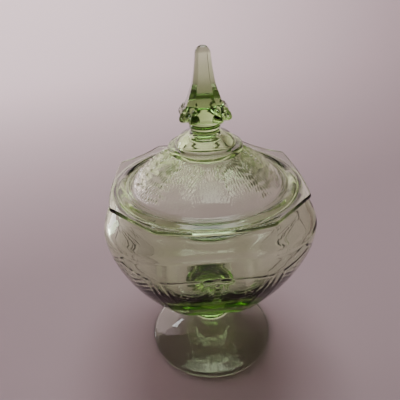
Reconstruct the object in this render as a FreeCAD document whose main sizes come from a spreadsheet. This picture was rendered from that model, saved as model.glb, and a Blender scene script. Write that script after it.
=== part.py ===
import FreeCAD, Part

import os

import Sketcher

# Covered candy dish of pressed green glass, in millimetres.
# Two loose articles: the footed dish (foot and bowl) and the lid (lid and finial).
# The origin is on the table under the middle of the foot, +Z up.
# The faces of the four-sided bowl look along -Y, +X, +Y and -X.

# ---------------------------------------------------------------- sizes
SIZES = {
    # foot and stem
    "foot_radius": 47.5,
    "foot_edge": 3.4,
    "foot_ring": 45.0,
    "foot_slope_radius": 19.0,
    "foot_slope_level": 20.6,
    "stem_radius": 11.5,
    "stem_waist": 34.5,
    "head_radius": 15.0,
    "head_level": 49.0,
    "stem_head": 31.0,
    "hollow_height": 17.0,
    "hollow_round_radius": 13.0,
    "hollow_round_level": 14.5,
    # bowl: a side is the half width, from the axis to the middle of a face
    "floor_level": 52.0,
    "floor_side": 36.0,
    "floor_thick": 6.5,
    "wide_level": 120.0,
    "wide_side": 65.5,
    "fullness": 1.62,
    "squareness": 0.67,
    "bowl_wall": 3.8,
    "heel_thick": 8.5,
    "shoulder_rise": 6.0,
    "shoulder_inset": 0.8,
    "lip_round": 3.4,
    "lip_level": 134.4,
    "lip_side": 61.5,
    "mouth_side": 57.0,
    "roundness": 0.96,
    # lid
    "seat_gap": 0.2,
    "flange_thick": 3.4,
    "flange_slope": 0.3,
    "seat_end": 57.8,
    "crease_radius": 60.5,
    "flange_point": 67.4,
    "flange_side": 61.8,
    "flange_notch": 64.0,
    "point_angle": 29.0,
    "ring_outer": 55.6,
    "ring_inner": 52.0,
    "ring_drop": 3.6,
    "dome_radius": 48.4,
    "dome_wall": 4.2,
    "dome_bulge": 2.2,
    "collar_radius": 23.2,
    "collar_level": 163.5,
    "collar_thick": 4.6,
    "boss_radius": 18.4,
    "boss_level": 170.4,
    "boss_wall": 4.2,
    "crown_radius": 12.5,
    "crown_level": 162.6,
    "throat_radius": 17.6,
    "throat_level": 155.6,
    # finial
    "neck_radius": 9.4,
    "neck_height": 9.4,
    "skirt_side": 12.4,
    "tip_side": 4.3,
    "facet_share": 0.43,
    "cap_height": 3.2,
    "cap_share": 0.5,
    "bead_radius": 2.8,
    "total_height": 220.0,
}

doc = FreeCAD.newDocument("CandyDish")
sheet = doc.addObject("Spreadsheet::Sheet", "Size")
for row, (alias, value) in enumerate(SIZES.items(), start=1):
    sheet.set("A%d" % row, alias.replace("_", " "))
    sheet.set("B%d" % row, "%g" % value)
    sheet.setAlias("B%d" % row, alias)
doc.recompute()


# ---------------------------------------------------------------- helpers
def named(formula):
    """A formula's text with each $name written as the sheet's Size.name."""
    return formula.replace("$", "Size.")


def size(formula):
    """What a formula of sheet names comes to, worked out by the sheet."""
    return float(sheet.evalExpression(named(formula)))


def make_body(label):
    body = doc.addObject("PartDesign::Body", label)
    body.Label = label
    body.Placement = FreeCAD.Placement()
    return body


def origin_item(body, role):
    """One of the body's own origin planes or axes, such as XY_Plane or Z_Axis."""
    return [item for item in body.Origin.OriginFeatures if item.Role == role][0]


def make_sketch(body, name, role, level="0"):
    """A sketch on one of the body's own planes, raised along its normal."""
    sketch = body.newObject("Sketcher::SketchObject", name)
    sketch.AttachmentSupport = [(origin_item(body, role), "")]
    sketch.MapMode = "FlatFace"
    sketch.setExpression("AttachmentOffset.Base.z", named(level))
    return sketch


def drive(sketch, kind, refs, formula):
    """A driving dimension bound to a formula of the sheet."""
    index = sketch.addConstraint(Sketcher.Constraint(kind, *refs, size(formula)))
    sketch.setExpression("Constraints[%d]" % index, named(formula))


def pin(sketch, edge, end, across, up):
    """Fix one end of an edge at (across, up) from the sketch's origin."""
    drive(sketch, "DistanceX", (-1, 1, edge, end), across)
    drive(sketch, "DistanceY", (-1, 1, edge, end), up)


def point(across, up):
    return FreeCAD.Vector(size(across), size(up), 0)


def bulged(start, end, bulge):
    """The middle point of an arc that stands off its chord, to the right of its direction."""
    chord = end - start
    side = FreeCAD.Vector(chord.y, -chord.x, 0).normalize()
    return (start + end) * 0.5 + side * bulge


def draw_loop(sketch, corners):
    """A closed outline. A corner is (across, up, bulge of the edge that leaves it)."""
    spots = [point(across, up) for across, up, _ in corners]
    for index, (across, up, bulge) in enumerate(corners):
        start = spots[index]
        end = spots[(index + 1) % len(spots)]
        amount = size(bulge)
        if amount == 0:
            sketch.addGeometry(Part.LineSegment(start, end))
            first = 1
        else:
            sketch.addGeometry(Part.Arc(start, bulged(start, end, amount), end))
            first = 1 if amount > 0 else 2
        pin(sketch, index, first, across, up)
        if amount != 0:
            half = "sqrt(pow(%s - (%s); 2) + pow(%s - (%s); 2)) / 2" % (
                corners[(index + 1) % len(corners)][0], across,
                corners[(index + 1) % len(corners)][1], up)
            drive(sketch, "Radius", (index,),
                  "(pow(%s; 2) + pow(%s; 2)) / (2 * abs(%s))" % (half, bulge, bulge))
    for index in range(len(corners)):
        following = (index + 1) % len(corners)
        leaves = 1 if size(corners[index][2]) < 0 else 2
        enters = 2 if size(corners[following][2]) < 0 else 1
        sketch.addConstraint(Sketcher.Constraint("Coincident", index, leaves, following, enters))


def draw_rounded_square(sketch, side, radius):
    """Four lines and four tangent corner arcs, centred on the origin."""
    half = size(side)
    corner = size(radius)
    flat = half - corner
    for turn in range(4):
        spin = FreeCAD.Rotation(90.0 * turn, 0, 0)
        line = [FreeCAD.Vector(half, -flat, 0), FreeCAD.Vector(half, flat, 0)]
        diagonal = FreeCAD.Vector(1, 1, 0).normalize() * corner
        arc = [line[1], FreeCAD.Vector(flat, flat, 0) + diagonal, FreeCAD.Vector(flat, half, 0)]
        sketch.addGeometry(Part.LineSegment(*[spin.multVec(v) for v in line]))
        sketch.addGeometry(Part.Arc(*[spin.multVec(v) for v in arc]))
    for edge in range(8):
        sketch.addConstraint(Sketcher.Constraint("Tangent", edge, 2, (edge + 1) % 8, 1))
    for edge in (3, 5, 7):
        sketch.addConstraint(Sketcher.Constraint("Equal", 1, edge))
    for edge, kind in ((0, "Vertical"), (2, "Horizontal"), (4, "Vertical"), (6, "Horizontal")):
        sketch.addConstraint(Sketcher.Constraint(kind, edge))
    drive(sketch, "DistanceX", (-1, 1, 0, 1), side)
    drive(sketch, "DistanceY", (-1, 1, 2, 1), side)
    drive(sketch, "DistanceX", (-1, 1, 4, 1), "-(%s)" % side)
    drive(sketch, "DistanceY", (-1, 1, 6, 1), "-(%s)" % side)
    drive(sketch, "Radius", (1,), radius)


def revolve(body, name, sketch, kind="PartDesign::Revolution"):
    feature = body.newObject(kind, name)
    feature.Profile = sketch
    feature.ReferenceAxis = (sketch, ["V_Axis"])
    feature.Angle = 360
    doc.recompute()
    return feature


def loft(body, name, sections, kind="PartDesign::AdditiveLoft"):
    feature = body.newObject(kind, name)
    feature.Profile = sections[0]
    feature.Sections = sections[1:]
    feature.Ruled = False
    doc.recompute()
    return feature


def check_cut(body, before, name):
    """A cut has to take glass away."""
    assert body.Shape.Volume < before - 1, name + " cuts nothing"


# ---------------------------------------------------------------- foot
def build_foot():
    """Round foot with a shallow dome, a short stem and a hollow underside."""
    body = make_body("foot")
    outline = make_sketch(body, "FootOutline", "XZ_Plane")
    draw_loop(outline, [
        ("0", "$floor_level", "0"),
        ("0", "$hollow_height", "0"),
        ("$hollow_round_radius", "$hollow_round_level", "-1.4"),
        ("$foot_ring", "0", "0"),
        ("$foot_radius - 1", "0", "0.3"),
        ("$foot_radius", "1", "0"),
        ("$foot_radius", "$foot_edge - 1.2", "0.3"),
        ("$foot_radius - 1.6", "$foot_edge", "-3"),
        ("$foot_slope_radius", "$foot_slope_level", "-1.5"),
        ("$stem_radius", "$stem_waist", "-0.5"),
        ("$head_radius", "$head_level", "-0.75"),
        ("$stem_head", "$floor_level", "0"),
    ])
    revolve(body, "Foot", outline)
    return body


# ---------------------------------------------------------------- bowl
def bowl_side(level):
    """Half width of the bowl's outside, a full curve from the floor to the widest level."""
    return ("$floor_side + ($wide_side - $floor_side)"
            " * (1 - pow(($wide_level - (%s)) / ($wide_level - $floor_level); $fullness))" % level)


def build_bowl():
    """Four-sided bowl that turns in to a round lip, with a thick floor and heel."""
    body = make_body("bowl")
    rise = "($wide_level - $floor_level)"
    levels = ["$floor_level + %g * %s" % (share, rise) for share in (0, 0.25, 0.5, 0.75, 1)]
    wall = []
    for count, level in enumerate(levels):
        section = make_sketch(body, "Wall%d" % count, "XY_Plane", level)
        draw_rounded_square(section, bowl_side(level), "(%s) * $squareness" % bowl_side(level))
        wall.append(section)
    loft(body, "Wall", wall)
    turn = make_sketch(body, "Turn", "XY_Plane", "$wide_level")
    draw_rounded_square(turn, "$wide_side", "$wide_side * $squareness")
    shoulder = make_sketch(body, "Shoulder", "XY_Plane", "$wide_level + $shoulder_rise")
    shoulder_side = "($wide_side - $shoulder_inset)"
    draw_rounded_square(shoulder, shoulder_side, shoulder_side + " * ($squareness + 0.1)")
    neck = make_sketch(body, "Neck", "XY_Plane", "$lip_level - $lip_round")
    draw_rounded_square(neck, "$lip_side + 1", "($lip_side + 1) * $roundness")
    lip = make_sketch(body, "Lip", "XY_Plane", "$lip_level")
    draw_rounded_square(lip, "$lip_side", "$lip_side * $roundness")
    loft(body, "ShoulderTurn", [turn, shoulder, neck, lip])

    inner = []
    for count, share in enumerate((0, 0.22, 0.44, 0.66, 0.88)):
        level = "$floor_level + $floor_thick + %g * %s" % (share, rise)
        heel = "$heel_thick * pow(1 - %g; 4)" % share
        side = "%s - $bowl_wall - %s" % (bowl_side(level), heel)
        section = make_sketch(body, "Inside%d" % count, "XY_Plane", level)
        draw_rounded_square(section, side, "(%s) * $squareness" % side)
        inner.append(section)
    mouth = make_sketch(body, "Mouth", "XY_Plane", "$lip_level - 4")
    draw_rounded_square(mouth, "$mouth_side", "$mouth_side * $roundness")
    opening = make_sketch(body, "Opening", "XY_Plane", "$lip_level + 1")
    draw_rounded_square(opening, "$mouth_side", "$mouth_side * $roundness")
    before = body.Shape.Volume
    loft(body, "Inside", inner + [mouth, opening], "PartDesign::SubtractiveLoft")
    check_cut(body, before, "Inside")
    return body


# ---------------------------------------------------------------- lid
def build_lid():
    """Domed cover with a scalloped flange, a locating ring, and a collar and hollow boss on top."""
    body = make_body("lid")
    seat = "$lip_level + $seat_gap"
    top = "%s + $flange_thick" % seat
    blank = "($flange_point + 2)"
    under_collar = "$collar_level - $collar_thick"
    profile = make_sketch(body, "LidProfile", "XZ_Plane")
    draw_loop(profile, [
        ("0", "$boss_level", "0"),
        ("0", "$boss_level - $boss_wall", "-0.92"),
        ("$crown_radius", "$crown_level", "-1"),
        ("$throat_radius", "$throat_level", "0"),
        ("$collar_radius - 2", "%s - $dome_wall - 1.2" % under_collar, "-$dome_bulge"),
        ("$ring_inner", seat, "0"),
        ("$ring_inner + 0.6", "%s - $ring_drop" % seat, "0"),
        ("$ring_outer - 0.6", "%s - $ring_drop" % seat, "0"),
        ("$ring_outer", seat, "0"),
        ("$seat_end", seat, "0"),
        (blank, "%s + $flange_slope * (%s - $seat_end)" % (seat, blank), "0"),
        (blank, "%s + $flange_slope * (%s - $crease_radius)" % (top, blank), "0"),
        ("$crease_radius", top, "0"),
        ("$dome_radius + 1.6", top, "0"),
        ("$dome_radius", "%s + 0.6" % top, "$dome_bulge"),
        ("$collar_radius - 1.8", under_collar, "0"),
        ("$collar_radius - 0.8", under_collar, "1.6"),
        ("$collar_radius - 0.8", "$collar_level", "0"),
        ("$boss_radius", "$collar_level", "2"),
        ("$neck_radius", "$boss_level", "0"),
    ])
    revolve(body, "Dome", profile)

    scallop = make_sketch(body, "Scallop", "XY_Plane", "%s - 1" % seat)
    points = []
    for quarter in range(4):
        for sign, bulge in ((-1, "$flange_side - $flange_point * cos($point_angle)"),
                            (1, "$flange_notch - $flange_point * cos(45 - $point_angle)")):
            angle = "%d + %d * $point_angle" % (90 * quarter, sign)
            points.append(("$flange_point * cos(%s)" % angle,
                           "$flange_point * sin(%s)" % angle, bulge))
    draw_loop(scallop, points)
    outside = "%s + 4" % blank
    waste = scallop.addGeometry(Part.Circle(FreeCAD.Vector(0, 0, 0), FreeCAD.Vector(0, 0, 1),
                                            size(outside)))
    scallop.addConstraint(Sketcher.Constraint("Coincident", waste, 3, -1, 1))
    drive(scallop, "Radius", (waste,), outside)
    before = body.Shape.Volume
    trim = body.newObject("PartDesign::Pocket", "Trim")
    trim.Profile = scallop
    trim.Reversed = True
    trim.setExpression("Length", named(
        "$flange_thick + $flange_slope * (%s - $seat_end) + 2" % blank))
    doc.recompute()
    check_cut(body, before, "Trim")
    return body


# ---------------------------------------------------------------- finial
# the spire's taper: (share of its height, share of the width between tip and skirt)
SPIRE = ((0.1, 1.0), (0.22, 0.89), (0.38, 0.56), (0.56, 0.29), (0.82, 0.08), (1, 0))
# rows of beads: (height above the skirt's foot in mm, share of the skirt's side, share of size)
BEADS = ((2.4, 1.06, 1.0), (7.4, 0.94, 0.55))


def chamfered_square(body, name, level, side):
    """A section of the spire: four wide sides and four narrow corner facets."""
    sketch = make_sketch(body, name, "XY_Plane", level)
    reach = "(%s)" % side
    cut = "(%s) * (1 - $facet_share)" % side
    ends = []
    for quarter in range(4):
        angle = 90 * quarter
        for sign in (-1, 1):
            across = "%s * cos(%d) - %d * %s * sin(%d)" % (reach, angle, sign, cut, angle)
            along = "%s * sin(%d) + %d * %s * cos(%d)" % (reach, angle, sign, cut, angle)
            ends.append((across, along, "0"))
    draw_loop(sketch, ends)
    return sketch


def build_finial():
    """Tapered four-sided spire on a round neck, with two rows of beads round its skirt."""
    body = make_body("finial")
    neck = make_sketch(body, "NeckCircle", "XY_Plane", "$boss_level")
    ring = neck.addGeometry(Part.Circle(FreeCAD.Vector(0, 0, 0), FreeCAD.Vector(0, 0, 1),
                                        size("$neck_radius")))
    neck.addConstraint(Sketcher.Constraint("Coincident", ring, 3, -1, 1))
    drive(neck, "Radius", (ring,), "$neck_radius")
    stub = body.newObject("PartDesign::Pad", "Stub")
    stub.Profile = neck
    stub.setExpression("Length", named("$neck_height"))
    doc.recompute()

    base = "($boss_level + $neck_height - 0.4)"
    rise = "($total_height - $cap_height - %s)" % base
    sections = [chamfered_square(body, "Skirt", base, "$skirt_side - 0.4")]
    for count, (share, spread) in enumerate(SPIRE):
        level = "%s + %g * %s" % (base, share, rise)
        side = "$tip_side + %g * ($skirt_side - $tip_side)" % spread
        sections.append(chamfered_square(body, "Spire%d" % count, level, side))
    loft(body, "Spire", sections)
    cap = chamfered_square(body, "CapBase", "$total_height - $cap_height", "$tip_side")
    crown = chamfered_square(body, "CapTop", "$total_height", "$tip_side * $cap_share")
    loft(body, "Cap", [cap, crown])

    for row, (level, reach, scale) in enumerate(BEADS):
        for side, sign in (("Left", -1), ("Right", 1)):
            bead = body.newObject("PartDesign::AdditiveSphere", "Bead%s%d" % (side, row))
            bead.AttachmentSupport = [(origin_item(body, "XY_Plane"), "")]
            bead.MapMode = "FlatFace"
            bead.setExpression("Radius", named("$bead_radius * %g" % scale))
            bead.setExpression("AttachmentOffset.Base.x", named("$skirt_side * %g" % reach))
            bead.setExpression("AttachmentOffset.Base.y", named(
                "%d * $skirt_side * (1 - $facet_share) * %g" % (sign, reach)))
            bead.setExpression("AttachmentOffset.Base.z", named("%s + %g" % (base, level)))
            doc.recompute()
            beads = body.newObject("PartDesign::PolarPattern", "Beads%s%d" % (side, row))
            beads.Originals = [bead]
            beads.Axis = (origin_item(body, "Z_Axis"), [""])
            beads.Angle = 360
            beads.Occurrences = 4
            body.Tip = beads
            doc.recompute()
    return body


# ---------------------------------------------------------------- build and write
bodies = [build_foot(), build_bowl(), build_lid(), build_finial()]
doc.recompute()
for item in doc.Objects:
    assert "Invalid" not in item.State and "Error" not in item.State, item.Label
os.makedirs("parts", exist_ok=True)
for body in bodies:
    shape = body.Shape
    assert not shape.isNull() and shape.isValid() and len(shape.Solids) == 1, body.Label
    box = shape.optimalBoundingBox(False, False)
    print("%s: %.1f x %.1f x %.1f mm, z %.1f to %.1f, %.1f cm3" % (
        body.Label, box.XLength, box.YLength, box.ZLength, box.ZMin, box.ZMax,
        shape.Volume / 1000))
    shape.exportStep("parts/%s.step" % body.Label)
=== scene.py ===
import math

import bpy
import numpy as np
from mathutils import Matrix, Vector


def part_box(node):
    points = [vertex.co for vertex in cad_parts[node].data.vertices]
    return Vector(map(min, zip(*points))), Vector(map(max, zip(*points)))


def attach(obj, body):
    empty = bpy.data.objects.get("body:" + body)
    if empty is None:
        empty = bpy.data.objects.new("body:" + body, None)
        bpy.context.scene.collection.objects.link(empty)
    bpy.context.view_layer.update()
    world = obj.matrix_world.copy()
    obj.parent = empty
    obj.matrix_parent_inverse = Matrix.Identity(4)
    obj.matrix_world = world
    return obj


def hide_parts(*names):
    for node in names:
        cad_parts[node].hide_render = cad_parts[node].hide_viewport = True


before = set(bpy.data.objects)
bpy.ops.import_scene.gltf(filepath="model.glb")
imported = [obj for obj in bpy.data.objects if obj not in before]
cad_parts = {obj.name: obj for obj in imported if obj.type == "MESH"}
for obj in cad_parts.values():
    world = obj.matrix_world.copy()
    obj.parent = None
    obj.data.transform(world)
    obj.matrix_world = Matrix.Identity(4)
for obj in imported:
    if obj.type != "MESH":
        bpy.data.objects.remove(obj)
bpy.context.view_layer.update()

# A covered candy dish of pressed green glass: a footed four-sided bowl and a domed lid with a spire
# finial. Each is one closed glass mesh. Shapes are worked out in millimetres and scaled once.
MM = 0.001
QUARTER = math.pi / 2

_, foot_high = [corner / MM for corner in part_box("foot")]
bowl_low, bowl_high = [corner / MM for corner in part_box("bowl")]
_, lid_high = [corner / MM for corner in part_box("lid")]
spire_low, spire_high = [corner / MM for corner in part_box("finial")]

FOOT_RADIUS = foot_high.x
FLOOR_Z = bowl_low.z
LIP_Z = bowl_high.z
BOWL_SIDE = bowl_high.x
WIDE_Z = 120.0
FLOOR_SIDE = 36.0
FULLNESS = 1.62
SQUARENESS = 0.67
WALL = 3.8
FLOOR_THICK = 6.5
HEEL = 8.5
SEAT_GAP = 0.2
SEAT_Z = LIP_Z + SEAT_GAP
BOSS_Z = spire_low.z
TOP_Z = spire_high.z
FLANGE_POINT = 67.2
FLANGE_SIDE = lid_high.x - 0.1
FLANGE_NOTCH = 63.9
POINT_ANGLE = math.radians(29.0)
FLANGE_THICK = 3.4
EDGE_ROUND = 0.9
SEAT_END = 56.8
CREASE = 60.5
FLARE_SLOPE = 0.3

COARSE = 240          # columns round the plain zones
FINE = 2 * COARSE     # columns round the decorated zones


# ------------------------------------------------------------------ section shapes
def fold(angle):
    """Angle from the middle of the nearest face, between -45 and 45 degrees."""
    return (angle + QUARTER / 2) % QUARTER - QUARTER / 2


def rounded_square(angle, share):
    """Radius of a square of half width 1 whose corners are rounded to a share of it (1 is a circle)."""
    off = np.abs(fold(angle))
    flat = 1 - share
    across, along = np.cos(off), np.sin(off)
    to_side = 1 / across
    reach = flat * (across + along)
    inside = np.maximum(reach ** 2 - 2 * flat ** 2 + share ** 2, 0)
    return np.where(along / across > flat, reach + np.sqrt(inside), to_side)


def faceted_square(angle, cut=math.tan(math.radians(20 * 360 / COARSE))):
    """Radius of a square of half width 1 whose corners are cut off where a side is cut wide."""
    off = np.abs(fold(angle))
    across, along = np.cos(off), np.sin(off)
    return 1 / np.maximum(across, (across + along) / (1 + cut))


def arc_radius(angle, middle, end, half_angle):
    """Radius of an arc through two ends at +-half_angle and a middle point on its axis."""
    rise = middle - end * math.cos(half_angle)
    half = end * math.sin(half_angle)
    size = (half ** 2 + rise ** 2) / (2 * abs(rise))
    centre = middle - math.copysign(size, rise)
    root = np.sqrt(np.maximum(size ** 2 - (centre * np.sin(angle)) ** 2, 0))
    return centre * np.cos(angle) + math.copysign(1, rise) * root


def scalloped(angle):
    """The lid's outline: four long bowed sides and four short notched corners."""
    off = np.abs(fold(angle))
    corner = QUARTER / 2 - off
    side = arc_radius(off, FLANGE_SIDE, FLANGE_POINT, POINT_ANGLE)
    notch = arc_radius(corner, FLANGE_NOTCH, FLANGE_POINT, QUARTER / 2 - POINT_ANGLE)
    return np.where(off < POINT_ANGLE, side, notch)


# ------------------------------------------------------------------ profiles
def smooth(points, count):
    """Points spaced evenly along a Catmull-Rom curve through the given ones, ends included."""
    points = np.array(points, float)
    padded = np.vstack([2 * points[0] - points[1], points, 2 * points[-1] - points[-2]])
    dense = []
    for i in range(1, len(padded) - 2):
        a, b, c, d = padded[i - 1:i + 3]
        for t in np.linspace(0, 1, 24, endpoint=False):
            dense.append(0.5 * (2 * b + (c - a) * t + (2 * a - 5 * b + 4 * c - d) * t ** 2
                                + (3 * b - 3 * c + d - a) * t ** 3))
    dense.append(points[-1])
    dense = np.array(dense)
    steps = np.linalg.norm(np.diff(dense[:, :2], axis=0), axis=1)
    along = np.concatenate([[0], np.cumsum(steps)])
    wanted = np.linspace(0, along[-1], count)
    return np.column_stack([np.interp(wanted, along, dense[:, i]) for i in range(dense.shape[1])])


def bump(distance, width):
    """A smooth rounded ridge of height 1 and the given half width."""
    return np.clip(1 - (distance / width) ** 2, 0, 1) ** 2


def noise(seed, *coords):
    """Cheap smooth noise between -1 and 1: a sum of seeded waves of the coordinates."""
    rng = np.random.RandomState(seed)
    total = 0
    for _ in range(5):
        phase = rng.uniform(0, 2 * math.pi)
        wave = phase
        for coord in coords:
            wave = wave + rng.uniform(-1, 1) * coord
        total = total + np.sin(wave)
    return total / 5


# ------------------------------------------------------------------ skins
def angles(columns):
    return np.arange(columns) * 2 * math.pi / columns - math.pi / 2


def stitch(rings):
    """Faces between rings of vertices. Neighbours hold equal counts, or one has twice the other's."""
    faces = []
    start = 0
    for here, there in zip(rings, rings[1:]):
        after = start + here
        if here == there:
            for i in range(here):
                j = (i + 1) % here
                faces.append((start + i, start + j, after + j, after + i))
        elif here * 2 == there:
            for i in range(here):
                j = (i + 1) % here
                a, b = start + i, start + j
                c, d, e = after + 2 * i, after + 2 * i + 1, after + (2 * i + 2) % there
                faces += [(a, d, c), (a, b, d), (b, e, d)]
        else:
            for i in range(there):
                j = (i + 1) % there
                a, b = after + i, after + j
                c, d, e = start + 2 * i, start + 2 * i + 1, start + (2 * i + 2) % here
                faces += [(c, d, a), (d, b, a), (d, e, b)]
        start = after
    return faces


def make_skin(name, bottom, rings, top):
    """A closed mesh: a bottom pole, rings of points from first to last, and a top pole."""
    counts = [len(ring) for ring in rings]
    points = np.vstack([[bottom]] + list(rings) + [[top]]) * MM
    faces = [tuple(i + 1 for i in face) for face in stitch(counts)]
    last = 1 + sum(counts[:-1])
    for i in range(counts[0]):
        faces.append((0, 1 + (i + 1) % counts[0], 1 + i))
    for i in range(counts[-1]):
        faces.append((len(points) - 1, last + i, last + (i + 1) % counts[-1]))
    mesh = bpy.data.meshes.new(name)
    mesh.from_pydata([tuple(p) for p in points], [], faces)
    mesh.validate()
    mesh.shade_smooth()
    piece = bpy.data.objects.new(name, mesh)
    bpy.context.scene.collection.objects.link(piece)
    return piece


# ------------------------------------------------------------------ the footed dish
def wall_side(z):
    """Half width of the bowl's outside between its floor and its widest level."""
    fall = np.clip((WIDE_Z - z) / (WIDE_Z - FLOOR_Z), 0, 1)
    return FLOOR_SIDE + (BOWL_SIDE - FLOOR_SIDE) * (1 - fall ** FULLNESS)


def inner_side(z):
    """Half width of the bowl's inside, where the wall thickens towards the heel."""
    up = np.clip((z - FLOOR_Z - FLOOR_THICK) / (WIDE_Z - FLOOR_Z), 0, 1)
    return wall_side(z) - WALL - HEEL * (1 - up) ** 4


PANEL_LOW, PANEL_TOP = 80.0, 107.0
CORNER_HALF = math.radians(12.5)


def panel_relief(angle, z):
    """Raised ornament of the bowl's lower wall, in millimetres above the plain glass."""
    off = fold(angle)
    side = wall_side(z)
    across = side * np.tan(off)                 # distance along the face from its middle
    half = 32.0 - 0.33 * (PANEL_TOP - z)        # half width of the panel here
    inside = np.clip((half - np.abs(across)) / 1.2, 0, 1) * np.clip((PANEL_TOP - z) / 1.2, 0, 1)
    inside = inside * np.clip((z - PANEL_LOW) / 1.2, 0, 1)

    # frame line round the panel, open in the middle of its top
    upright = bump(np.abs(across) - half, 0.8) * (z > PANEL_LOW - 14) * (z < PANEL_TOP + 0.5)
    top = bump(z - PANEL_TOP, 0.8) * (np.abs(across) < half) * (np.abs(across) > 9.5)
    relief = 0.42 * np.maximum(upright, top)

    # curtain swags that hang from the middle of the top to each corner, with folds
    u = np.clip(np.abs(across) / half, 0, 1)
    swag_low = PANEL_TOP - 5.0 - 17.0 * np.sin(math.pi * np.clip(u * 1.05, 0, 1)) ** 0.8
    hem = bump(z - swag_low, 1.1) * (u < 0.96)
    above = inside * np.clip((z - swag_low) / 0.8, 0, 1)
    folds = 0.5 + 0.5 * np.cos(2 * math.pi * (z - swag_low) / 4.2 + 2.4 * u)
    relief = np.maximum(relief, 0.14 * hem)
    relief = relief + 0.04 * above * folds

    # stippled ground below the swags
    below = inside * np.clip((swag_low - z - 0.8) / 0.8, 0, 1)
    stipple = np.cos(2 * math.pi * across / 2.1) * np.cos(2 * math.pi * (z + across * 0.5) / 2.1)
    relief = relief + 0.08 * below * np.clip(stipple, -0.2, 1)

    # bow, tails and a column of beads in the middle
    for x, dz, long, tall in ((-4.6, 1.0, 4.2, 2.2), (4.6, 1.0, 4.2, 2.2), (0, 0, 1.8, 1.8)):
        spot = ((across - x) / long) ** 2 + ((z - PANEL_TOP + dz) / tall) ** 2
        relief = np.maximum(relief, 0.6 * np.sqrt(np.clip(1 - spot, 0, 1)))
    for step in range(6):
        spot = (across / 1.5) ** 2 + ((z - PANEL_TOP + 5.5 + 4.3 * step) / 1.7) ** 2
        relief = np.maximum(relief, 0.5 * np.sqrt(np.clip(1 - spot, 0, 1)))
    for side_sign in (-1, 1):
        tail = side_sign * (3.0 + 0.16 * (PANEL_TOP - z))
        fringe = bump(across - tail, 1.2) * (z < PANEL_TOP - 2) * (z > PANEL_TOP - 26)
        relief = np.maximum(relief, 0.25 * fringe)

    # five-petal flowers at the lower corners and the lower middle
    for x in (-19.5, 0, 19.5):
        relief = np.maximum(relief, flower(across - x, z - PANEL_LOW - 6))
    return relief


def flower(x, y):
    """Five round petals about a small eye."""
    relief = 0.4 * bump(np.hypot(x, y), 1.0)
    for petal in range(5):
        turn = math.pi / 2 + petal * 2 * math.pi / 5
        spot = np.hypot(x - 2.6 * math.cos(turn), y - 2.6 * math.sin(turn))
        relief = np.maximum(relief, 0.6 * bump(spot, 1.35))
    return relief


def corner_relief(angle, z):
    """A feather of small teardrops that climbs each corner of the bowl inside a pointed frame."""
    off = np.abs(fold(angle + QUARTER / 2))
    reach = wall_side(z) * 1.13
    across = reach * off
    half = reach * CORNER_HALF
    peak = 116.0 - 7.5 * np.clip(across / half, 0, 1)
    frame_line = bump(across - half, 0.9) * (z < 108.6)
    arch = bump((z - peak) * 0.75, 0.9) * (across < half + 0.4)
    relief = 0.3 * np.maximum(frame_line, arch) * (z > FLOOR_Z + 3)

    spine = bump(across, 0.8) * (z < 121)
    slant = z - 0.55 * across                   # barbs rise outwards from the spine
    barb = np.clip(np.cos(2 * math.pi * slant / 4.4), 0, 1) ** 1.5
    drop = np.clip(np.sin(math.pi * np.clip(across / (half - 2.0), 0, 1)), 0, 1)
    barbs = barb * drop * np.clip((peak - z) / 2, 0, 1) * (across < half - 1.2)
    upper = bump(np.hypot(across / 1.0, ((z - 119.5) / 3.6)), 2.2)
    relief = relief + 0.16 * barbs + 0.12 * spine * np.clip((peak - z) / 2, 0, 1) + 0.15 * upper
    return relief * np.clip((z - FLOOR_Z - 3) / 3, 0, 1)


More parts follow.
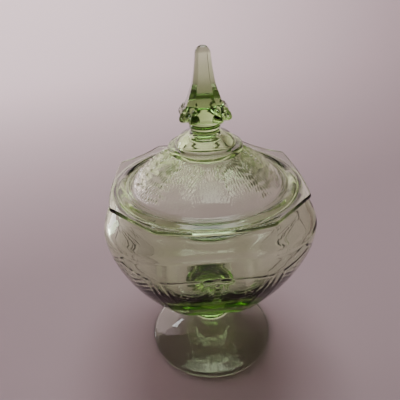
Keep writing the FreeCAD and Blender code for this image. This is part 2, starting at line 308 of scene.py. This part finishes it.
def dish_rings():
    """Rings from the middle of the foot's underside, round the outside and down into the bowl."""
    under = smooth([(1.5, 17), (7, 16.6), (14, 14.4), (24, 9.6), (34, 4.9), (42, 1.7),
                    (45.4, 0.55)], 22)
    edge = smooth([(45.4, 0.55), (45.9, 0.15), (46.3, 0), (FOOT_RADIUS - 0.5, 0.4),
                   (FOOT_RADIUS, 1.4), (FOOT_RADIUS - 0.25, 2.5), (FOOT_RADIUS - 1.1, 3.3),
                   (FOOT_RADIUS - 2.4, 3.7)], 12)
    rise = smooth([(FOOT_RADIUS - 2.4, 3.7), (38, 6.4), (30, 10.8), (24, 15.4), (19, 20.6),
                   (14.6, 26), (12.2, 30.6), (11.5, 34.5), (12, 39), (13.2, 43), (14.8, 46.6),
                   (17.6, 49.4), (22, 50.9), (31, FLOOR_Z)], 42)
    plain = np.vstack([under, edge[1:], rise[1:]])
    rings = [ring_points(COARSE, side, z, 1.0) for side, z in plain]

    heel = smooth([(31, FLOOR_Z, 1), (32.6, FLOOR_Z, 0.92), (34.8, FLOOR_Z + 0.3, 0.8),
                   (36.6, FLOOR_Z + 1.4, 0.7),
                   (wall_side(FLOOR_Z + 3.2), FLOOR_Z + 3.2, SQUARENESS)], 8)
    rings += [ring_points(COARSE, *row) for row in heel[1:]]
    for z in np.linspace(FLOOR_Z + 4, WIDE_Z + 3, 100):
        side = wall_side(z) - 0.25 * max(z - WIDE_Z, 0) ** 2 / 9
        rings.append(ring_points(FINE, side, z, SQUARENESS, relief=True))
    shoulder = smooth([(BOWL_SIDE - 0.25, WIDE_Z + 3, SQUARENESS), (BOWL_SIDE - 0.8, WIDE_Z + 6, 0.75),
                       (63.4, WIDE_Z + 9, 0.88), (62.4, LIP_Z - 3, 0.97), (61.4, LIP_Z - 1, 1)], 12)
    rings += [ring_points(COARSE, *row) for row in shoulder[1:]]
    lip = smooth([(61.4, LIP_Z - 1, 1), (60.6, LIP_Z - 0.25, 1), (59.2, LIP_Z, 1), (58, LIP_Z - 0.2, 1),
                  (57.2, LIP_Z - 1.2, 1), (57.0, LIP_Z - 3, 1), (57.4, LIP_Z - 5.6, 0.96),
                  (59, LIP_Z - 8.6, 0.86), (61, LIP_Z - 12.4, 0.72)], 18)
    rings += [ring_points(COARSE, *row) for row in lip[1:]]
    inner_floor = FLOOR_Z + FLOOR_THICK
    for z in np.linspace(LIP_Z - 14, inner_floor + 4, 32):
        rings.append(ring_points(COARSE, inner_side(z), z, SQUARENESS))
    bend = inner_side(inner_floor + 4)
    bottom = smooth([(bend, inner_floor + 4, SQUARENESS), (bend - 3.2, inner_floor + 1.8, 0.75),
                     (bend - 7, inner_floor + 0.6, 0.85), (20, inner_floor, 1), (10, inner_floor, 1),
                     (1.5, inner_floor, 1)], 15)
    rings += [ring_points(COARSE, *row) for row in bottom[1:]]
    return rings, inner_floor


DISH_SEED, LID_SEED = 3, 8


def ring_points(columns, side, z, share, relief=False):
    """One ring of the dish. A relief stands off the wall, square to its slope."""
    turn = angles(columns)
    radius = side * rounded_square(turn, share)
    level = np.full(columns, z, float)
    radius = radius + 0.05 * noise(DISH_SEED, 2 * np.cos(turn), 2 * np.sin(turn), z / 14)
    if relief:
        raised = np.maximum(panel_relief(turn, z), corner_relief(turn, z))
        slope = math.atan((wall_side(z + 0.5) - wall_side(z - 0.5)) / 1.0)
        radius = radius + raised * math.cos(slope)
        level = level - raised * math.sin(slope)
    return np.column_stack([radius * np.cos(turn), radius * np.sin(turn), level])


dish_ring_list, inner_floor_z = dish_rings()
dish = make_skin("dish_glass", (0, 0, 17.05), dish_ring_list, (0, 0, inner_floor_z))


# ------------------------------------------------------------------ the lid and its finial
DOME_LOW_R, DOME_HIGH_R = 48.0, 21.6
DOME_LOW_Z, DOME_HIGH_Z = 138.6, 158.9
DOME_BULGE = 2.2
PLUMES = 12
LINES = FINE // 4        # four columns to a line
RING_DROP = 3.6


def dome_relief(angle, radius):
    """Fine moulded plumes that fan out over the dome, in millimetres above the plain glass."""
    share = np.clip((DOME_LOW_R - radius) / (DOME_LOW_R - DOME_HIGH_R), 0, 1)
    fade = np.clip(share / 0.08, 0, 1) * np.clip((1 - share) / 0.06, 0, 1)
    plume = (angle * PLUMES / (2 * math.pi)) % 1 - 0.5           # place across one plume
    spine = bump(plume * radius * 2 * math.pi / PLUMES, 0.7)
    barb = np.cos(2 * math.pi * (radius * 0.5 - np.abs(plume) * radius * 0.42) / 1.6)
    lines = np.cos(angle * LINES + 0.8 * np.sin(radius * 0.4))
    cluster = 0.5 + 0.5 * np.cos(2 * math.pi * plume)
    wander = 0.5 + 0.5 * np.sin(7 * angle + 0.35 * radius) * np.sin(0.5 * radius + 5 * angle)
    return fade * (0.4 * spine + 0.5 * cluster * barb + 0.55 * lines * wander)


def flange_ring(side, spread):
    """A ring of the flange's top or underside, from its seat (spread 0) to its rounded edge (1)."""
    turn = angles(COARSE)
    start, base = (CREASE, SEAT_Z + FLANGE_THICK) if side == "top" else (SEAT_END, SEAT_Z)
    begin = SEAT_END if side == "under" else CREASE - 2
    radius = begin + (scalloped(turn) - EDGE_ROUND - begin) * spread
    level = base + FLARE_SLOPE * np.maximum(radius - start, 0)
    return np.column_stack([radius * np.cos(turn), radius * np.sin(turn), level])


def flange_edge(share):
    """A ring of the flange's rounded edge, from the underside (share 0) to the top (share 1)."""
    under, top = flange_ring("under", 1), flange_ring("top", 1)
    turn = angles(COARSE)
    out = EDGE_ROUND * math.sin(math.pi * share) ** 0.7
    level = under[:, 2] + (top[:, 2] - under[:, 2]) * (0.5 - 0.5 * math.cos(math.pi * share))
    radius = scalloped(turn) - EDGE_ROUND + out
    return np.column_stack([radius * np.cos(turn), radius * np.sin(turn), level])


def round_ring(radius, z, columns=COARSE, relief=False):
    turn = angles(columns)
    wobble = noise(LID_SEED, 2 * np.cos(turn), 2 * np.sin(turn), z / 12)
    ring = np.full(columns, radius, float) + 0.04 * wobble
    level = np.full(columns, z, float)
    if relief:
        level = level + dome_relief(turn, radius)
    return np.column_stack([ring * np.cos(turn), ring * np.sin(turn), level])


def spire_ring(side, z, corner_share, lumps=()):
    """A ring of the finial: round (0) to four-sided with cut corners (1), with raised lumps."""
    turn = angles(COARSE)
    radius = side * (1 + (faceted_square(turn) - 1) * corner_share)
    for lump_turn, lump_z, lump_radius in lumps:
        off = np.abs(np.abs(fold(turn)) - lump_turn) * side
        inside = lump_radius ** 2 - off ** 2 - (z - lump_z) ** 2
        radius = radius + 1.1 * np.sqrt(np.maximum(inside, 0))
    return np.column_stack([radius * np.cos(turn), radius * np.sin(turn), np.full(COARSE, z)])


SKIRT_Z = BOSS_Z + 9.0
SPIRE = [(12.4, SKIRT_Z + 0.4), (12.5, SKIRT_Z + 3.8), (11.8, SKIRT_Z + 7.0), (10.2, SKIRT_Z + 10.2),
         (8.5, SKIRT_Z + 15.0), (6.5, SKIRT_Z + 21.2), (4.95, SKIRT_Z + 31.0), (4.35, SKIRT_Z + 36.8)]
LUMPS = [(math.radians(30), SKIRT_Z + 2.2, 3.0), (math.radians(30), SKIRT_Z + 6.0, 1.6),
         (QUARTER / 2, SKIRT_Z + 3.6, 2.0)]


def lid_rings():
    """Rings from the middle of the lid's underside, round the flange and up to the finial's tip."""
    ring_low = SEAT_Z - RING_DROP
    under = smooth([(1.2, 166.2), (7, 165.6), (12.2, 162.8), (15.6, 158.6), (17.9, 155.2),
                    (21.6, 152.9), (30, 149.2), (40, 143.4),
                    (48, 137.2), (50.8, 134.8), (52.1, 133.2), (52.9, 131.6)], 48)
    ring = smooth([(52.9, 131.6), (53.4, ring_low + 0.15), (54.0, ring_low), (54.7, ring_low + 0.4),
                   (55.2, 132.5), (55.7, 133.9), (56.1, SEAT_Z - 0.1), (SEAT_END, SEAT_Z)], 16)
    rings = [round_ring(radius, z) for radius, z in np.vstack([under, ring[1:]])]
    top = SEAT_Z + FLANGE_THICK
    rings += [flange_ring("under", spread) for spread in np.linspace(0.12, 1, 8)]
    rings += [flange_edge(share) for share in np.linspace(0, 1, 10)[1:-1]]
    rings += [flange_ring("top", spread) for spread in np.linspace(1, 0, 8)]
    shelf = smooth([(CREASE - 2, top), (57.6, top + 0.35), (56.2, top + 0.95), (54.6, top + 1.1),
                    (53.2, top + 0.7), (52.3, top + 0.1), (51.6, top + 0.05), (50.9, top + 0.5),
                    (50.1, top + 0.5), (49.4, top), (48.7, top + 0.4), (DOME_LOW_R, DOME_LOW_Z)], 30)
    rings += [round_ring(radius, z) for radius, z in shelf[1:]]
    for share in np.linspace(0, 1, 56)[1:]:
        radius = DOME_LOW_R + (DOME_HIGH_R - DOME_LOW_R) * share
        straight = DOME_LOW_Z + (DOME_HIGH_Z - DOME_LOW_Z) * share
        z = straight + DOME_BULGE * math.sin(math.pi * share) ** 0.9
        rings.append(round_ring(radius, z, FINE, relief=True))
    collar = smooth([(21.4, 159), (22.2, 159.1), (23.0, 159.8), (23.2, 161.2), (23.0, 162.7),
                     (22.2, 163.4), (20.4, 163.5), (18.9, 163.7), (18.2, 164.8), (17.0, 167),
                     (14.8, 169.1), (12, 170.2), (10.2, 170.6)], 44)
    rings += [round_ring(radius, z) for radius, z in collar]
    neck = smooth([(10.2, 170.6, 0), (9.0, 171.4, 0), (8.7, 173, 0), (9.6, 174.6, 0),
                   (8.8, 176.4, 0), (9.6, 178.4, 0), (10.6, SKIRT_Z - 0.1, 0.25),
                   (11.6, SKIRT_Z, 0.8), (12.1, SKIRT_Z + 0.2, 1)], 26)
    rings += [spire_ring(*row) for row in neck[1:]]
    for side, z in smooth(SPIRE, 74):
        rings.append(spire_ring(side, z, 1, LUMPS))
    cap_z = SKIRT_Z + 36.8
    cap = smooth([(4.35, cap_z), (4.35, cap_z + 0.5), (3.9, cap_z + 1.4), (2.9, cap_z + 2.8),
                  (1.7, TOP_Z - 0.2), (0.6, TOP_Z - 0.02)], 12)
    rings += [spire_ring(side, z, 0.9) for side, z in cap[1:]]
    return rings


lid = make_skin("lid_glass", (0, 0, 166.25), lid_rings(), (0, 0, TOP_Z))


# ------------------------------------------------------------------ glass
def node(tree, kind, place=(0, 0), **values):
    made = tree.nodes.new(kind)
    made.location = place
    for key, value in values.items():
        if hasattr(made, key):
            setattr(made, key, value)
        else:
            made.inputs[key.replace("_", " ")].default_value = value
    return made


GLASS_TINT = (0.64, 0.83, 0.40, 1)
DISH_DENSITY = 70
LID_DENSITY = 105


def glass(name, density):
    """Fire-polished green pressed glass: clear where thin, deep green along its edges."""
    material = bpy.data.materials.new(name)
    material.use_nodes = True
    tree = material.node_tree
    tree.nodes.clear()
    out = node(tree, "ShaderNodeOutputMaterial", (700, 0))
    shader = node(tree, "ShaderNodeBsdfPrincipled", (300, 0))
    shader.inputs["Base Color"].default_value = (1, 1, 1, 1)
    shader.inputs["Transmission Weight"].default_value = 1
    shader.inputs["IOR"].default_value = 1.51
    tree.links.new(shader.outputs["BSDF"], out.inputs["Surface"])

    absorb = node(tree, "ShaderNodeVolumeAbsorption", (300, -420))
    absorb.inputs["Color"].default_value = GLASS_TINT
    absorb.inputs["Density"].default_value = density
    tree.links.new(absorb.outputs["Volume"], out.inputs["Volume"])

    place = node(tree, "ShaderNodeTexCoord", (-900, 0))
    handled = node(tree, "ShaderNodeTexNoise", (-600, 200), Scale=38, Detail=3)
    tree.links.new(place.outputs["Object"], handled.inputs["Vector"])
    rough = node(tree, "ShaderNodeMapRange", (-300, 200), To_Min=0.012, To_Max=0.05)
    tree.links.new(handled.outputs["Fac"], rough.inputs["Value"])
    tree.links.new(rough.outputs["Result"], shader.inputs["Roughness"])

    flow = node(tree, "ShaderNodeTexNoise", (-600, -200), Scale=55, Detail=2)
    pits = node(tree, "ShaderNodeTexNoise", (-600, -450), Scale=420, Detail=2)
    tree.links.new(place.outputs["Object"], flow.inputs["Vector"])
    tree.links.new(place.outputs["Object"], pits.inputs["Vector"])
    broad = node(tree, "ShaderNodeBump", (-200, -200), Strength=0.05, Distance=0.0012)
    small = node(tree, "ShaderNodeBump", (0, -300), Strength=0.05, Distance=0.0002)
    tree.links.new(flow.outputs["Fac"], broad.inputs["Height"])
    tree.links.new(pits.outputs["Fac"], small.inputs["Height"])
    tree.links.new(broad.outputs["Normal"], small.inputs["Normal"])
    tree.links.new(small.outputs["Normal"], shader.inputs["Normal"])
    return material


for piece, body, slot, density, nodes in (
        (dish, "dish", "dish_glass", DISH_DENSITY, ("foot", "bowl")),
        (lid, "cover", "lid_glass", LID_DENSITY, ("lid", "finial"))):
    piece.data.materials.append(glass(slot, density))
    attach(piece, body)
    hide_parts(*nodes)


# ------------------------------------------------------------------ floor, light and camera
def matte(name, colour):
    material = bpy.data.materials.new(name)
    material.use_nodes = True
    shader = material.node_tree.nodes["Principled BSDF"]
    shader.inputs["Base Color"].default_value = (*colour, 1)
    shader.inputs["Roughness"].default_value = 0.9
    shader.inputs["Specular IOR Level"].default_value = 0.2
    return material


def make_floor():
    """A pale round floor that curves up into a wall on every side."""
    middle, flat, bend, height, level, columns = 0.4, 1.0, 0.7, 1.2, -0.0001, 96
    profile = [(middle, level), (flat, level)]
    profile += [(flat + bend * math.sin(a), level + bend - bend * math.cos(a))
                for a in np.linspace(0, math.pi / 2, 16)[1:]]
    profile.append((flat + bend, height))
    points = [(0, 0, level)]
    points += [(r * math.cos(t), r * math.sin(t), z) for r, z in profile for t in angles(columns)]
    faces = [(0, 1 + i, 1 + (i + 1) % columns) for i in range(columns)]
    faces += [tuple(1 + i for i in reversed(face)) for face in stitch([columns] * len(profile))]
    mesh = bpy.data.meshes.new("floor")
    mesh.from_pydata(points, [], faces)
    mesh.shade_smooth()
    mesh.materials.append(matte("pale_sweep", (0.60, 0.475, 0.50)))
    floor = bpy.data.objects.new("floor", mesh)
    bpy.context.scene.collection.objects.link(floor)


def soft_light(name, place, target, size, power, colour=(1, 1, 1)):
    lamp = bpy.data.lights.new(name, "AREA")
    lamp.shape = "RECTANGLE"
    lamp.size, lamp.size_y = size
    lamp.energy = power
    lamp.color = colour
    light = bpy.data.objects.new(name, lamp)
    light.location = place
    light.rotation_euler = (Vector(target) - Vector(place)).to_track_quat("-Z", "Y").to_euler()
    light.visible_camera = False
    bpy.context.scene.collection.objects.link(light)


make_floor()
soft_light("window", (-1.25, 0.85, 0.35), (0, 0.3, 0.1), (0.2, 0.6), 2.8, (0.93, 0.97, 1))
soft_light("back_sky", (-0.4, 0.7, 1.3), (-0.8, 1.7, 0.75), (1.5, 0.4), 44)
soft_light("overhead", (0.05, 0.3, 1.2), (0, 0, 0), (0.6, 0.6), 6)

world = bpy.data.worlds.new("studio")
bpy.context.scene.world = world
world.use_nodes = True
world.node_tree.nodes["Background"].inputs["Color"].default_value = (1.0, 0.86, 0.84, 1)
world.node_tree.nodes["Background"].inputs["Strength"].default_value = 0.05

CAMERA_AROUND = math.radians(-4.0)       # the camera stands this far round from the front face
CAMERA_BACK = 0.2246
CAMERA_HIGH = 0.2526
CAMERA_TURN = math.radians(-1.25)
CAMERA_TILT = math.radians(-30.14)
CAMERA_ROLL = math.radians(-2.52)
CAMERA_LENS = 34.74

lens = bpy.data.cameras.new("camera")
lens.sensor_width = 36
lens.lens = CAMERA_LENS
lens.clip_start = 0.01
camera = bpy.data.objects.new("camera", lens)
bpy.context.scene.collection.objects.link(camera)
forward = Vector((math.sin(CAMERA_TURN) * math.cos(CAMERA_TILT),
                  math.cos(CAMERA_TURN) * math.cos(CAMERA_TILT), math.sin(CAMERA_TILT)))
right = Vector((math.cos(CAMERA_TURN), -math.sin(CAMERA_TURN), 0))
upward = right.cross(forward)
rolled_right = right * math.cos(CAMERA_ROLL) + upward * math.sin(CAMERA_ROLL)
rolled_up = upward * math.cos(CAMERA_ROLL) - right * math.sin(CAMERA_ROLL)
stand = Matrix((rolled_right, rolled_up, -forward)).transposed().to_4x4()
stand.translation = Vector((0, -CAMERA_BACK, CAMERA_HIGH))
camera.matrix_world = Matrix.Rotation(CAMERA_AROUND, 4, "Z") @ stand
bpy.context.scene.camera = camera
